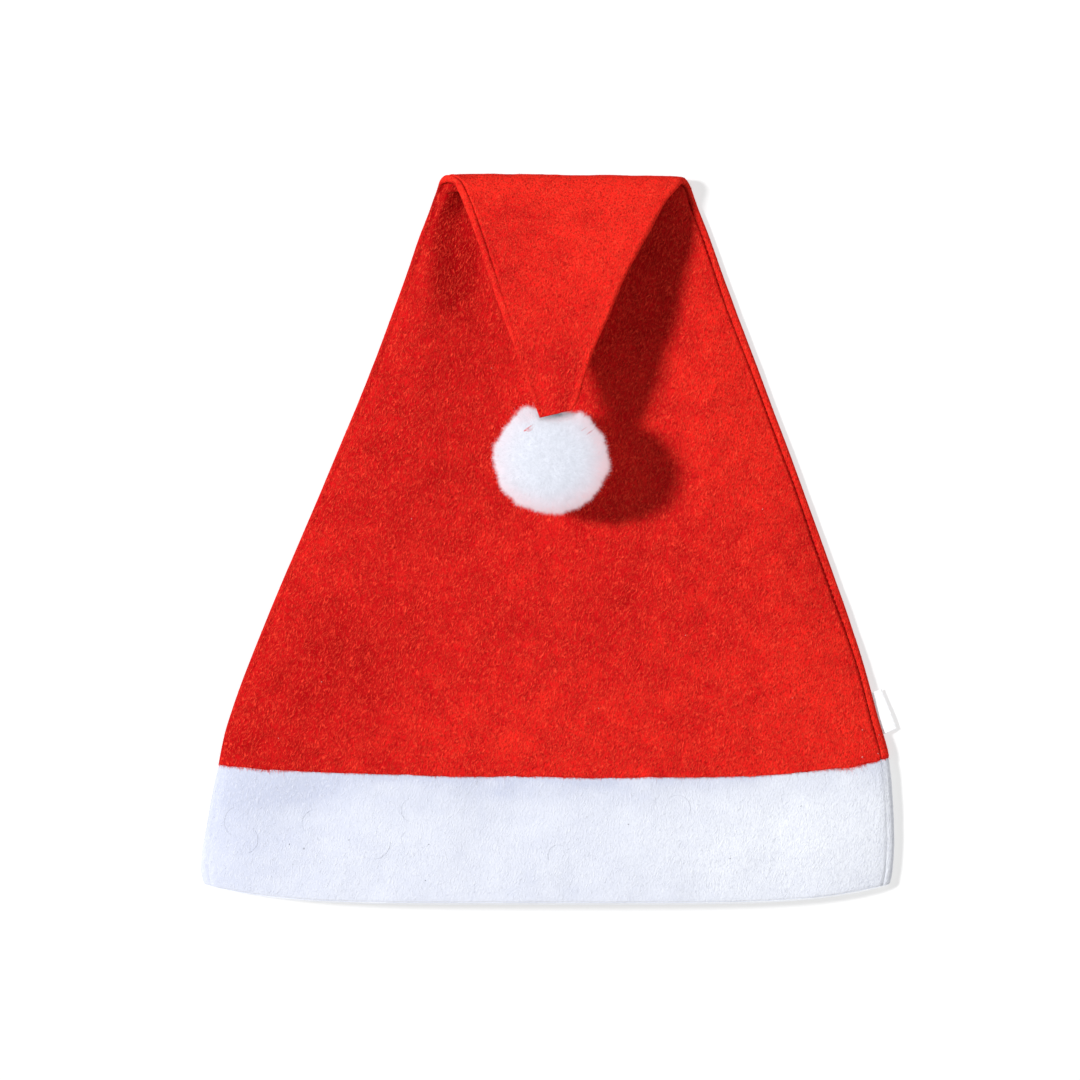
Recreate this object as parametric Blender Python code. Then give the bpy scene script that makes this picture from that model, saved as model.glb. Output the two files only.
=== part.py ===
"""A Santa hat of thin felt, lying flat on its back with its point folded forward over the front.

The crown is a flattened felt tube that lies on the floor, rolls over at the fold and comes back as a
flap that rises to the pompom. The band is a second tube of felt that is tucked up inside the crown's
rim. Seen from above, +X is the hat's right, +Y runs from the band to the fold, and +Z is up.
The origin is on the floor under the middle of the hat's outline.
"""

import math
from collections import namedtuple

import bmesh
import bpy
from mathutils import Vector

MM = 0.001

# Felt and the gap between neighbouring pieces, in millimetres like all lengths here
FELT = 1.2
CLEARANCE = 0.3

# The fold, rolled about a line along X
FOLD_Y = 153.4
FOLD_RADIUS = 7.5
FOLD_TURN = 150.0
FOLD_START_Y = FOLD_Y - FOLD_RADIUS
LEFT_CORNER_X = -47.6
RIGHT_CORNER_X = 59.6
LEFT_CORNER_DROP = 3.2
RIGHT_CORNER_DROP = 1.6
CORNER_REACH = 3.2
FOLD_LINE_DROP = 1.1
CORNER_BEGINS_Y = 122.0

# The rim where red meets white, the mouth, and the hat's point
RIM_Y = -93.0
MOUTH_Y = -145.0
POINT_Y = 52.3
POINT_Z = 39.3
POINT_SLANT = 3.4
HEM_DEPTH = 21.0
TUCK_DEPTH = 6.0

POMPOM_CENTRE = Vector((0.6, 33.0, 31.5))
POMPOM_CORE = 18.4
POMPOM_REACH = Vector((24.5, 23.2, 23.4))
POMPOM_SEAT = Vector((1.5, 19.4, 6.0))
SEAT_ANGLE = math.radians(31.0)

LABEL_LENGTH = 17.9
LABEL_SHOWS = 5.7
LABEL_TUCK = 3.0
LABEL_THICK = 0.6
LABEL_CENTRE_Y = -73.5

# Where the side seams dent the felt: on the front at the right, on the back at the left
SEAM_FROM_EDGE = 3.6
SEAM_HALF_WIDTH = 0.9
SEAM_DEPTH = 0.45

# How finely the tubes are cut up
CAP_STEPS = 4
SIDE_SHARES = (0.05, 0.15, 0.27, 0.39, 0.51, 0.63, 0.75, 0.87, 0.96)
BODY_STEP = 14.0
FOLD_STEPS = 6
FLAP_STEPS = 10

# The hat's outline and hollow across the floor, from the mouth up to the fold.
# y: where the row meets the side edges. left, right: the side edges. belly: how far the front rises
# above its edges at the middle. edge_gap: the hollow between the panels at the side edges.
# bow: how far the row dips towards the mouth at its middle. square: how boxy that dip is.
# lean: how far the front lies back from the mouth for each millimetre of height.
BodyRow = namedtuple("BodyRow", "y left right belly edge_gap bow square lean")
BODY_ROWS = (
    BodyRow(-145.0, -144.9, 142.8, 12.0, 3.4, 8.3, 5.0, 0.10),
    BodyRow(-138.0, -146.2, 144.0, 11.6, 3.4, 8.2, 4.6, 0.08),
    BodyRow(-124.0, -144.6, 144.6, 10.6, 3.5, 7.8, 4.0, 0.04),
    BodyRow(-92.0, -138.6, 142.2, 8.4, 3.9, 6.8, 3.2, 0.0),
    BodyRow(-76.0, -134.7, 138.3, 9.2, 3.6, 6.6, 3.0, 0.0),
    BodyRow(-42.0, -122.2, 128.6, 8.6, 2.2, 5.2, 2.6, 0.0),
    BodyRow(8.0, -101.2, 111.1, 7.2, 1.4, 3.0, 2.2, 0.0),
    BodyRow(58.0, -80.2, 92.6, 5.6, 1.0, 1.4, 2.0, 0.0),
    BodyRow(109.0, -60.8, 73.4, 3.6, 0.8, 0.4, 2.0, 0.0),
    BodyRow(FOLD_START_Y, -48.4, 60.9, 1.8, 0.8, 0.0, 2.0, 0.0),
)

# The side edges and hollow round the fold, by how far it has turned in degrees.
RollRow = namedtuple("RollRow", "turn left right belly edge_gap")
ROLL_ROWS = (
    RollRow(0.0, -48.4, 60.9, 1.8, 0.8),
    RollRow(90.0, -46.4, 57.2, 1.7, 0.8),
    RollRow(FOLD_TURN, -39.6, 54.2, 1.8, 0.8),
)

# The side edges and hollow of the flap, from the point back up to the fold.
FlapRow = namedtuple("FlapRow", "y left right belly edge_gap")
FLAP_ROWS = (
    FlapRow(POINT_Y, -4.6, 8.7, 0.4, 0.5),
    FlapRow(56.0, -6.0, 9.7, 0.7, 0.6),
    FlapRow(66.0, -9.9, 13.0, 1.4, 0.8),
    FlapRow(78.0, -14.1, 17.9, 2.2, 0.9),
    FlapRow(93.0, -19.8, 24.4, 2.8, 1.0),
    FlapRow(107.0, -24.8, 30.2, 3.0, 1.0),
    FlapRow(127.7, -32.0, 40.8, 2.6, 0.9),
    FlapRow(142.5, -37.2, 48.6, 2.0, 0.8),
    FlapRow(149.7, -39.6, 54.2, 1.8, 0.8),
)

# Soft dents and swells of the front panel. reach_x and reach_y are their half widths.
Dent = namedtuple("Dent", "x y reach_x reach_y rise")
FRONT_DENTS = (
    Dent(0.6, 33.0, 26.0, 24.0, -1.6),
    Dent(-62.0, 84.0, 14.0, 42.0, 2.0),
    Dent(70.0, 70.0, 16.0, 44.0, 1.6),
    Dent(-112.0, -46.0, 20.0, 46.0, 1.6),
    Dent(112.0, -34.0, 22.0, 46.0, 1.4),
    Dent(20.0, -62.0, 40.0, 26.0, 0.9),
    Dent(-60.0, -20.0, 30.0, 40.0, -1.0),
    Dent(-104.0, -112.0, 26.0, 16.0, -1.5),
    Dent(-20.0, -116.0, 22.0, 18.0, -0.8),
    Dent(40.0, -122.0, 34.0, 20.0, 0.9),
)

RED_FELT = ((0.68, 0.016, 0.012, 1.0), 0.95)
WHITE_FELT = ((0.84, 0.86, 0.94, 1.0), 0.95)
WHITE_FUR = ((0.86, 0.87, 0.93, 1.0), 1.0)
WHITE_TAPE = ((0.9, 0.9, 0.9, 1.0), 0.6)


def smooth_read(rows, at):
    """A row read smoothly from the table, at a value of its first column."""
    keys = [row[0] for row in rows]
    at = min(max(at, keys[0]), keys[-1])
    upper = next(i for i in range(1, len(keys)) if at <= keys[i])
    lower = upper - 1
    span = keys[upper] - keys[lower]
    share = (at - keys[lower]) / span

    def slope(index, column):
        before, after = max(index - 1, 0), min(index + 1, len(rows) - 1)
        return (rows[after][column] - rows[before][column]) / (keys[after] - keys[before])

    values = []
    for column in range(len(rows[0])):
        start, end = rows[lower][column], rows[upper][column]
        leaves, arrives = slope(lower, column) * span, slope(upper, column) * span
        values.append(
            start * (2 * share**3 - 3 * share**2 + 1)
            + leaves * (share**3 - 2 * share**2 + share)
            + end * (3 * share**2 - 2 * share**3)
            + arrives * (share**3 - share**2)
        )
    return rows[0]._make(values)


def ease(low, high, value):
    """A smooth rise from 0 at low to 1 at high."""
    share = min(max((value - low) / (high - low), 0.0), 1.0)
    return share * share * (3 - 2 * share)


def corner_drop(x, y):
    """How far the fold's line lies below a straight one: it falls to the right, with round corners."""
    from_left = max(0.0, x - LEFT_CORNER_X)
    from_right = max(0.0, RIGHT_CORNER_X - x)
    drop = LEFT_CORNER_DROP * math.exp(-from_left / CORNER_REACH)
    drop += RIGHT_CORNER_DROP * math.exp(-from_right / CORNER_REACH)
    drop += FOLD_LINE_DROP * from_left / (RIGHT_CORNER_X - LEFT_CORNER_X)
    return drop * ease(CORNER_BEGINS_Y, FOLD_START_Y, y)


def dent_rise(x, y):
    """How far the dents lift the front panel at a place."""
    total = 0.0
    for dent in FRONT_DENTS:
        away = ((x - dent.x) / dent.reach_x) ** 2 + ((y - dent.y) / dent.reach_y) ** 2
        total += dent.rise * math.exp(-away)
    return total


def fold_arc(turn):
    """The fold's outer skin after a turn in degrees, as (y, z) and its direction."""
    angle = math.radians(turn)
    point = Vector((math.sin(angle), 1 - math.cos(angle))) * FOLD_RADIUS
    return point + Vector((FOLD_START_Y, 0.0)), Vector((math.cos(angle), math.sin(angle)))


def flap_curve(share):
    """The flap's upper skin from the end of the fold to the point, as (y, z) and its direction."""
    start, heading = fold_arc(FOLD_TURN)
    end = Vector((POINT_Y, POINT_Z))
    knots = (start, start + heading * 40.0, end + Vector((30.0, 2.0)), end)
    rest = 1.0 - share
    weights = (rest**3, 3 * rest**2 * share, 3 * rest * share**2, share**3)
    point = sum((knot * weight for knot, weight in zip(knots, weights)), Vector((0.0, 0.0)))
    steps = [knots[i + 1] - knots[i] for i in range(3)]
    along = steps[0] * rest**2 + steps[1] * 2 * rest * share + steps[2] * share**2
    return point, along.normalized()


class Section:
    """One cut across the flattened tube, from its skin on the back panel to its front panel."""

    def __init__(self, skin, along, row, slant=0.0):
        self.skin = skin
        self.along = along
        self.inward = Vector((-along.y, along.x))
        self.row = row
        self.slant = slant
        self.on_body = isinstance(row, BodyRow)

    def across(self, x):
        """The share of the way from the left edge to the right edge."""
        return (x - self.row.left) / (self.row.right - self.row.left)

    def place(self, x, depth):
        """The point at x, and at a depth from the back skin towards the front."""
        across = self.across(x)
        forward = -self.slant * (across - 0.5)
        if self.on_body:
            forward += self.row.lean * depth
            forward -= self.row.bow * (1 - abs(2 * across - 1) ** self.row.square)
        spot = self.skin + self.along * forward + self.inward * depth
        return Vector((x, spot.x - corner_drop(x, spot.x), spot.y))

    def front_depth(self, x):
        """How far the front skin lies from the back skin."""
        arch = max(0.0, math.sin(math.pi * self.across(x))) ** 0.8
        depth = 2 * FELT + self.row.edge_gap + self.row.belly * arch
        if self.on_body:
            depth += dent_rise(x, self.place(x, 0.0).y) * min(1.0, arch * 1.6)
        return depth

    def loop(self, inset):
        """The closed line round the tube, at a depth below its outer skin."""
        radius = FELT + self.row.edge_gap / 2
        left, right = self.row.left + radius, self.row.right - radius
        room = right - left
        seam = min(SEAM_FROM_EDGE - radius * 0.5, room * 0.2)
        notch = min(SEAM_HALF_WIDTH, seam * 0.5)
        near = (0.0, seam - notch, seam, seam + notch)
        spare = room - 2 * near[-1]
        stations = list(near) + [near[-1] + spare * share for share in SIDE_SHARES]
        stations += [room - step for step in reversed(near)]
        back_groove = near.index(seam)
        front_groove = len(stations) - 1 - back_groove
        points = []
        for i, station in enumerate(stations):
            groove = SEAM_DEPTH if i == back_groove else 0.0
            points.append(self.place(left + station, inset + groove))
        points += self.cap(right, radius, inset, 1)
        for i in reversed(range(len(stations))):
            x = left + stations[i]
            groove = SEAM_DEPTH if i == front_groove else 0.0
            points.append(self.place(x, self.front_depth(x) - inset - groove))
        points += self.cap(left, radius, inset, -1)
        return points

    def cap(self, centre_x, radius, inset, side):
        """The points round a side edge, between the two panels."""
        points = []
        for step in range(1, CAP_STEPS):
            angle = math.pi * step / CAP_STEPS
            reach = (radius - inset) * math.sin(angle)
            depth = radius - side * (radius - inset) * math.cos(angle)
            points.append(self.place(centre_x + side * reach, depth))
        return points


def body_section(y):
    """A section of the part that lies on the floor."""
    return Section(Vector((y, 0.0)), Vector((1.0, 0.0)), smooth_read(BODY_ROWS, y))


def folded_sections():
    """The sections from the start of the fold to the point."""
    sections = []
    for i in range(1, FOLD_STEPS + 1):
        turn = FOLD_TURN * i / FOLD_STEPS
        sections.append(Section(*fold_arc(turn), smooth_read(ROLL_ROWS, turn)))
    for i in range(1, FLAP_STEPS + 1):
        share = i / FLAP_STEPS
        skin, along = flap_curve(share)
        row = smooth_read(FLAP_ROWS, skin.x)
        sections.append(Section(skin, along, row, slant=POINT_SLANT * share**4))
    return sections


def steps_between(low, high, step):
    """Even steps from low to high, no longer than step."""
    count = math.ceil((high - low) / step)
    return [low + (high - low) * i / count for i in range(count + 1)]


def add_object(name, mesh, look=None):
    """A named object from a bmesh, cut into triangles, with its own material."""
    bmesh.ops.triangulate(mesh, faces=mesh.faces)
    bmesh.ops.recalc_face_normals(mesh, faces=mesh.faces)
    data = bpy.data.meshes.new(name)
    mesh.to_mesh(data)
    mesh.free()
    data.shade_smooth()
    data.set_sharp_from_angle(angle=math.radians(50))
    thing = bpy.data.objects.new(name, data)
    bpy.context.scene.collection.objects.link(thing)
    if look:
        colour, roughness = look
        material = bpy.data.materials.new(name)
        material.use_nodes = True
        shader = material.node_tree.nodes["Principled BSDF"]
        shader.inputs["Base Color"].default_value = colour
        shader.inputs["Roughness"].default_value = roughness
        shader.inputs["Metallic"].default_value = 0.0
        data.materials.append(material)
    return thing


def skin_loops(loops, ring_closes):
    """A mesh through loops of equal length, joined end to end or with a face over each end."""
    mesh = bmesh.new()
    rings = [[mesh.verts.new(point * MM) for point in loop] for loop in loops]
    pairs = list(zip(rings, rings[1:]))
    if ring_closes:
        pairs.append((rings[-1], rings[0]))
    else:
        mesh.faces.new(rings[0])
        mesh.faces.new(rings[-1])
    for first, second in pairs:
        count = len(first)
        for i in range(count):
            j = (i + 1) % count
            mesh.faces.new((first[i], first[j], second[j], second[i]))
    return mesh


def build_crown():
    """The red felt: its outer skin from the point back to the rim, then its hollow back up again."""
    floor_rows = steps_between(RIM_Y, FOLD_START_Y, BODY_STEP)
    sections = [body_section(y) for y in floor_rows] + folded_sections()
    outer = [section.loop(0.0) for section in sections]
    inner = [section.loop(FELT) for section in sections[:-1]]
    mesh = skin_loops(outer[::-1] + inner, ring_closes=False)
    return add_object("crown", mesh, RED_FELT)


def build_band():
    """The white felt: tucked inside the rim, out over the band, round the hem and up inside."""
    tucked = FELT + CLEARANCE
    under = tucked + FELT
    hem = 2 * FELT
    rounding = 0.3 * FELT
    tuck_top = RIM_Y + TUCK_DEPTH
    shoulder = RIM_Y - CLEARANCE
    profile = (
        (tuck_top, tucked),
        (shoulder, tucked),
        (shoulder, 0.0),
        (shoulder - 12.0, 0.0),
        (shoulder - 24.0, 0.0),
        (shoulder - 36.0, 0.0),
        (MOUTH_Y + 6.0, 0.0),
        (MOUTH_Y + FELT, 0.0),
        (MOUTH_Y + rounding, rounding),
        (MOUTH_Y, FELT),
        (MOUTH_Y + rounding, hem - rounding),
        (MOUTH_Y + FELT, hem),
        (MOUTH_Y + HEM_DEPTH / 2, hem),
        (MOUTH_Y + HEM_DEPTH, hem),
        (MOUTH_Y + HEM_DEPTH + rounding, FELT),
        (shoulder - 12.0, FELT),
        (shoulder - 3.0, under),
        (tuck_top, under),
    )
    loops = [body_section(y).loop(inset) for y, inset in profile]
    return add_object("band", skin_loops(loops, ring_closes=True), WHITE_FELT)


def raise_lock(face, lift, taper):
    """The face moved by a lift and drawn in about its middle."""
    middle = face.calc_center_median()
    for vertex in face.verts:
        vertex.co = middle + (vertex.co - middle) * taper + lift


def build_pompom():
    """A core ball with a plump lock on each face, bare where the hat's point is sewn on."""
    mesh = bmesh.new()
    bmesh.ops.create_icosphere(mesh, subdivisions=3, radius=POMPOM_CORE)
    resting = body_section(POMPOM_CENTRE.y).front_depth(POMPOM_CENTRE.x) + 2 * CLEARANCE
    tufted = [f for f in mesh.faces if f.calc_center_median().angle(POMPOM_SEAT) > SEAT_ANGLE]
    roots = bmesh.ops.extrude_discrete_faces(mesh, faces=tufted)["faces"]
    for number, face in enumerate(roots):
        root = face.calc_center_median()
        way = root.normalized()
        reach = 1 / Vector(way[i] / POMPOM_REACH[i] for i in range(3)).length
        reach *= 1.0 - 0.05 * (0.5 + 0.5 * math.sin(number * 2.4))
        if way.z < 0:
            reach = min(reach, (POMPOM_CENTRE.z - resting) / -way.z)
        length = reach - root.length
        raise_lock(face, way * length * 0.6, 0.9)
        tip = bmesh.ops.extrude_discrete_faces(mesh, faces=[face])["faces"][0]
        raise_lock(tip, way * length * 0.4, 0.55)
    for vertex in mesh.verts:
        vertex.co = (vertex.co + POMPOM_CENTRE) * MM
    return add_object("pompom", mesh, WHITE_FUR)


def label_block(grow, reach_in, reach_out):
    """A flat block through the crown's right edge, as a mesh."""
    here = smooth_read(BODY_ROWS, LABEL_CENTRE_Y)
    above = smooth_read(BODY_ROWS, LABEL_CENTRE_Y + LABEL_LENGTH / 2)
    below = smooth_read(BODY_ROWS, LABEL_CENTRE_Y - LABEL_LENGTH / 2)
    edge = Vector((below.right - above.right, below.y - above.y, 0.0)).normalized()
    outward = Vector((-edge.y, edge.x, 0.0))
    middle = Vector((here.right, LABEL_CENTRE_Y, FELT + here.edge_gap / 2))
    half_length = LABEL_LENGTH / 2 + grow
    half_thick = LABEL_THICK / 2 + grow
    mesh = bmesh.new()
    for depth in (-reach_in, reach_out):
        for side in (-half_length, half_length):
            for height in (-half_thick, half_thick):
                spot = middle + outward * depth + edge * side
                mesh.verts.new((spot + Vector((0.0, 0.0, height))) * MM)
    bmesh.ops.convex_hull(mesh, input=mesh.verts[:])
    return mesh


def build_label(crown):
    """The bare tape in the right seam, and the slit in the crown's edge that it comes out of."""
    add_object("side_label", label_block(0.0, LABEL_TUCK, LABEL_SHOWS), WHITE_TAPE)
    slit = add_object("label_slit", label_block(CLEARANCE, LABEL_TUCK + CLEARANCE, LABEL_SHOWS))
    slit.hide_render = True
    slit.display_type = "WIRE"
    cut = crown.modifiers.new("label_slit", "BOOLEAN")
    cut.operation = "DIFFERENCE"
    cut.solver = "EXACT"
    cut.object = slit


def main():
    for old in list(bpy.data.objects):
        bpy.data.objects.remove(old)
    crown = build_crown()
    build_band()
    build_pompom()
    build_label(crown)


main()
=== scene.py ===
"""A Santa hat of red and white needle felt, lying flat with its point folded forward over the front.

Lengths in the tables are millimetres; meshes are made in metres. +Y runs from the band to the fold.
"""
import math
from collections import namedtuple

import bmesh
import bpy
import numpy as np
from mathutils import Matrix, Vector, noise


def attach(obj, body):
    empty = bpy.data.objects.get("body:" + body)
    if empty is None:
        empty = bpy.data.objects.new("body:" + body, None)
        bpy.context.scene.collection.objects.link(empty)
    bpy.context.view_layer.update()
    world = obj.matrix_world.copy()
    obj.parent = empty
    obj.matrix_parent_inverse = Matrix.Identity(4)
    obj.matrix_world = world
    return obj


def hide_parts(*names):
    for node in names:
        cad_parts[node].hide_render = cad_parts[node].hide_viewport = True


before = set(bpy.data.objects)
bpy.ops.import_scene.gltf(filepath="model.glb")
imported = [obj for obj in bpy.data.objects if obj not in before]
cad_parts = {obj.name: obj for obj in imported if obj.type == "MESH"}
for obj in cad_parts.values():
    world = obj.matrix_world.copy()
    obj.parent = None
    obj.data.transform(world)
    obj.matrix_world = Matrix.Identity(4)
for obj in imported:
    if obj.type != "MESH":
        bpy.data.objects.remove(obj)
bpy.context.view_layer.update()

MM = 0.001
FELT = 1.2

# The fold, rolled about a line along X
FOLD_Y = 153.4
FOLD_RADIUS = 7.5
FOLD_TURN = 150.0
FOLD_START_Y = FOLD_Y - FOLD_RADIUS
LEFT_CORNER_X = -47.6
RIGHT_CORNER_X = 59.6
LEFT_CORNER_DROP = 3.2
RIGHT_CORNER_DROP = 1.6
CORNER_REACH = 3.2
FOLD_LINE_DROP = 1.1
CORNER_BEGINS_Y = 122.0
CORNER_FILL = 4.4

# The rim where red meets white, the mouth, and the hat's point
RIM_Y = -93.0
MOUTH_Y = -145.0
POINT_Y = 52.3
POINT_Z = 39.3
POINT_SLANT = 3.4
HEM_DEPTH = 21.0
TUCK_DEPTH = 6.0

POMPOM_CENTRE = np.array((0.6, 33.0, 31.5))
POMPOM_REACH = np.array((24.9, 23.4, 23.2))
POMPOM_SEAT = np.array((1.5, 19.4, 6.0))
POMPOM_TUFTS = (
    (np.array((-11.6, 20.6, 7.0)), 0.105, 15.0),
    (np.array((12.6, 20.5, 8.0)), 0.1, 14.0),
    (np.array((-2.0, 14.0, 20.0)), 0.05, 12.0),
    (np.array((22.0, 9.0, 4.0)), 0.045, 9.0),
    (np.array((23.0, -4.0, 2.0)), 0.03, 8.0),
    (np.array((-23.0, 4.0, 2.0)), 0.04, 8.0),
    (np.array((-19.0, -13.0, 2.0)), 0.03, 8.0),
    (np.array((2.0, -23.0, 2.0)), 0.035, 12.0),
)
RED_STRAYS = ((-10.8, 12.1, 17.1, 8), (13.4, 10.6, 16.4, 3))

LABEL_LENGTH = 17.9
LABEL_SHOWS = 5.5
LABEL_TUCK = 2.6
LABEL_CENTRE_Y = -73.0
LABEL_LEAN = 21.5

# Side seams, sewn from the front at the right and from the back at the left
SEAM_WIDTH = 0.36
SEAM_DEPTH = 0.68
STITCH_PITCH = 2.4
SEAM_PLACES_Y = (-93.0, -84.0, -50.0, -25.0, 0.0, 25.0, 50.0, 70.0, 84.0, 96.0, 105.0, 117.0, 129.0, 143.0)
SEAM_PLACES = (1.9, 2.2, 2.95, 3.6, 3.7, 3.1, 3.3, 3.3, 3.55, 3.6, 3.35, 3.0, 3.0, 3.2)
PLEAT_DEPTH = 0.55

# The hat's outline and hollow across the floor, from the mouth up to the fold
BodyRow = namedtuple("BodyRow", "y left right belly edge_gap bow square lean")
BODY_ROWS = (
    BodyRow(-145.0, -144.9, 142.8, 12.0, 3.4, 8.3, 5.0, 0.10),
    BodyRow(-138.0, -146.2, 144.0, 11.6, 3.4, 8.2, 4.6, 0.08),
    BodyRow(-124.0, -144.6, 144.6, 10.6, 3.5, 7.8, 4.0, 0.04),
    BodyRow(-92.0, -138.6, 142.2, 8.4, 3.9, 6.8, 3.2, 0.0),
    BodyRow(-76.0, -134.7, 138.3, 9.2, 3.6, 6.6, 3.0, 0.0),
    BodyRow(-42.0, -122.2, 128.6, 8.6, 2.2, 5.2, 2.6, 0.0),
    BodyRow(8.0, -101.2, 111.1, 7.2, 1.4, 3.0, 2.2, 0.0),
    BodyRow(58.0, -80.2, 92.6, 5.6, 1.0, 1.4, 2.0, 0.0),
    BodyRow(109.0, -60.8, 73.4, 3.6, 0.8, 0.4, 2.0, 0.0),
    BodyRow(FOLD_START_Y, -48.8, 60.9, 1.8, 0.8, 0.0, 2.0, 0.0),
)

# The side edges and hollow round the fold, by how far it has turned in degrees
RollRow = namedtuple("RollRow", "turn left right belly edge_gap")
ROLL_ROWS = (
    RollRow(0.0, -48.8, 60.9, 1.8, 0.8),
    RollRow(38.0, -47.4, 59.6, 1.8, 0.8),
    RollRow(90.0, -45.5, 57.2, 1.7, 0.8),
    RollRow(FOLD_TURN, -39.6, 54.2, 1.8, 0.8),
)

# The side edges and hollow of the flap, from the point back up to the fold
FlapRow = namedtuple("FlapRow", "y left right belly edge_gap")
FLAP_ROWS = (
    FlapRow(POINT_Y, -4.6, 9.6, 0.4, 0.5),
    FlapRow(56.0, -6.0, 11.6, 0.7, 0.6),
    FlapRow(66.0, -9.9, 14.4, 1.4, 0.8),
    FlapRow(78.0, -14.1, 18.4, 2.2, 0.9),
    FlapRow(93.0, -19.4, 24.6, 2.8, 1.0),
    FlapRow(107.0, -24.2, 30.2, 3.0, 1.0),
    FlapRow(127.7, -31.0, 40.8, 2.6, 0.9),
    FlapRow(142.5, -36.3, 48.6, 2.0, 0.8),
    FlapRow(149.7, -39.6, 54.2, 1.8, 0.8),
)

# Soft dents and swells of the front panel
Dent = namedtuple("Dent", "x y reach_x reach_y rise")
FRONT_DENTS = (
    Dent(0.6, 33.0, 26.0, 24.0, -1.6),
    Dent(-62.0, 84.0, 14.0, 42.0, 2.0),
    Dent(70.0, 70.0, 16.0, 44.0, 1.6),
    Dent(-112.0, -46.0, 20.0, 46.0, 1.6),
    Dent(112.0, -34.0, 22.0, 46.0, 1.4),
    Dent(20.0, -62.0, 40.0, 26.0, 0.15),
    Dent(-60.0, -20.0, 30.0, 40.0, -1.0),
    Dent(-104.0, -112.0, 26.0, 16.0, -1.5),
    Dent(-20.0, -116.0, 22.0, 18.0, -0.8),
    Dent(40.0, -122.0, 34.0, 20.0, 0.9),
    Dent(-52.0, 124.0, 7.0, 24.0, 2.8),
    Dent(-34.0, 122.0, 11.0, 26.0, -2.6),
    Dent(-8.0, 62.0, 44.0, 60.0, -1.8),
)

# How far the red rim strays from a smooth bow, along X
RimWave = namedtuple("RimWave", "x rise")
RIM_WAVES = (
    RimWave(-139.0, -1.0),
    RimWave(-135.0, -0.9),
    RimWave(-120.0, -0.4),
    RimWave(-110.0, 0.2),
    RimWave(-94.0, 0.9),
    RimWave(-69.0, 1.4),
    RimWave(-59.0, 1.45),
    RimWave(-39.0, 0.9),
    RimWave(-21.0, 1.25),
    RimWave(-8.0, 1.1),
    RimWave(9.0, 0.5),
    RimWave(55.0, 0.65),
    RimWave(88.0, 0.0),
    RimWave(117.0, 0.7),
    RimWave(127.0, 0.2),
    RimWave(137.0, 1.1),
    RimWave(143.0, 2.2),
)

# Spots where the red felt is lighter, and darker where the share is below zero: partly tone of the felt's
# nap, partly painted light and shade, such as the painted shadow of the flap on the front, the painted
# shade beside the flap's left edge and in the fold's left corner, and painted light on the body's right
# side and the flap's top
Patch = namedtuple("Patch", "x y reach_x reach_y share")
NAP_AND_PAINTED_LIGHT_SPOTS = (
    Patch(84.0, 70.0, 34.0, 66.0, 0.8),
    Patch(-66.0, 60.0, 30.0, 60.0, -0.15),
    Patch(-42.0, 122.0, 9.0, 22.0, -0.7),
    Patch(-35.0, 113.0, 5.0, 13.0, -0.9),
    Patch(-42.0, 141.0, 8.0, 11.0, -1.0),
    Patch(46.0, 112.0, 12.0, 34.0, -0.6),
    Patch(118.0, -74.0, 50.0, 50.0, 0.75),
    Patch(0.0, -88.0, 62.0, 24.0, -0.6),
    Patch(-84.0, -52.0, 22.0, 26.0, -0.5),
    Patch(-4.0, -42.0, 34.0, 22.0, -0.3),
    Patch(-124.0, -74.0, 36.0, 34.0, -0.4),
    Patch(-6.0, -22.0, 14.0, 26.0, 0.15),
    Patch(30.0, -26.0, 10.0, 20.0, -0.25),
)
FLAP_NAP_AND_PAINTED_LIGHT_SPOTS = (
    Patch(30.0, 128.0, 26.0, 26.0, 0.55),
    Patch(-4.0, 148.0, 60.0, 8.0, 0.65),
    Patch(-24.0, 118.0, 12.0, 18.0, -0.25),
    Patch(4.0, 66.0, 14.0, 16.0, -0.55),
)

# Lumps in the felt: how high they stand, how wide and how long one is, along X and Y
Lump = namedtuple("Lump", "height wide long seed")
FELT_LUMPS = (
    Lump(0.42, 17.0, 30.0, 3.0),
    Lump(0.14, 6.5, 9.0, 11.0),
    Lump(0.06, 2.4, 3.2, 23.0),
)

# Painted shade on the white band, and painted light where the share is below zero: greyer at the left and
# in spots just under the red rim, lighter towards the right
SHADED = (
    Patch(-146.0, -118.0, 46.0, 40.0, 0.7),
    Patch(-112.0, -102.0, 22.0, 8.0, 0.9),
    Patch(-24.0, -106.0, 12.0, 4.0, 0.35),
    Patch(128.0, -118.0, 70.0, 40.0, -0.95),
    Patch(80.0, -132.0, 40.0, 20.0, -0.4),
    Patch(92.0, -135.0, 16.0, 8.0, 0.2),
)

# Long curled fibres on the band: where each starts, its heading, its turn in degrees and its radius
Curl = namedtuple("Curl", "x y heading bend radius")
CURLS = (
    Curl(-132.0, -112.0, 200.0, 150.0, 6.5),
    Curl(-98.0, -113.0, 180.0, 130.0, 5.5),
    Curl(-58.0, -108.0, 190.0, 170.0, 5.0),
    Curl(-126.0, -131.0, 20.0, 120.0, 6.0),
    Curl(-76.0, -133.0, 340.0, 110.0, 7.0),
    Curl(6.0, -128.0, 150.0, 140.0, 4.5),
    Curl(58.0, -115.0, 60.0, 150.0, 5.5),
    Curl(96.0, -124.0, 200.0, 120.0, 6.0),
)

# Specks of lint: where they lie along X and Y
DARK_SPECKS = (
    (-110.2, -127.9), (-84.6, -125.4), (-49.4, -127.1), (-51.0, -142.6), (-103.0, -128.8),
    (32.0, -119.0), (74.0, -133.0), (104.0, -112.0),
)
PALE_SPECKS = (
    (138.0, -82.1), (137.6, -90.2), (132.0, -91.5), (130.0, -79.6), (-96.0, -60.0), (-24.0, 72.0),
    (58.0, -40.0), (20.0, -71.0), (88.0, 12.0), (-58.0, 8.0), (102.0, -66.0), (-112.0, -84.0),
)

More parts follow.
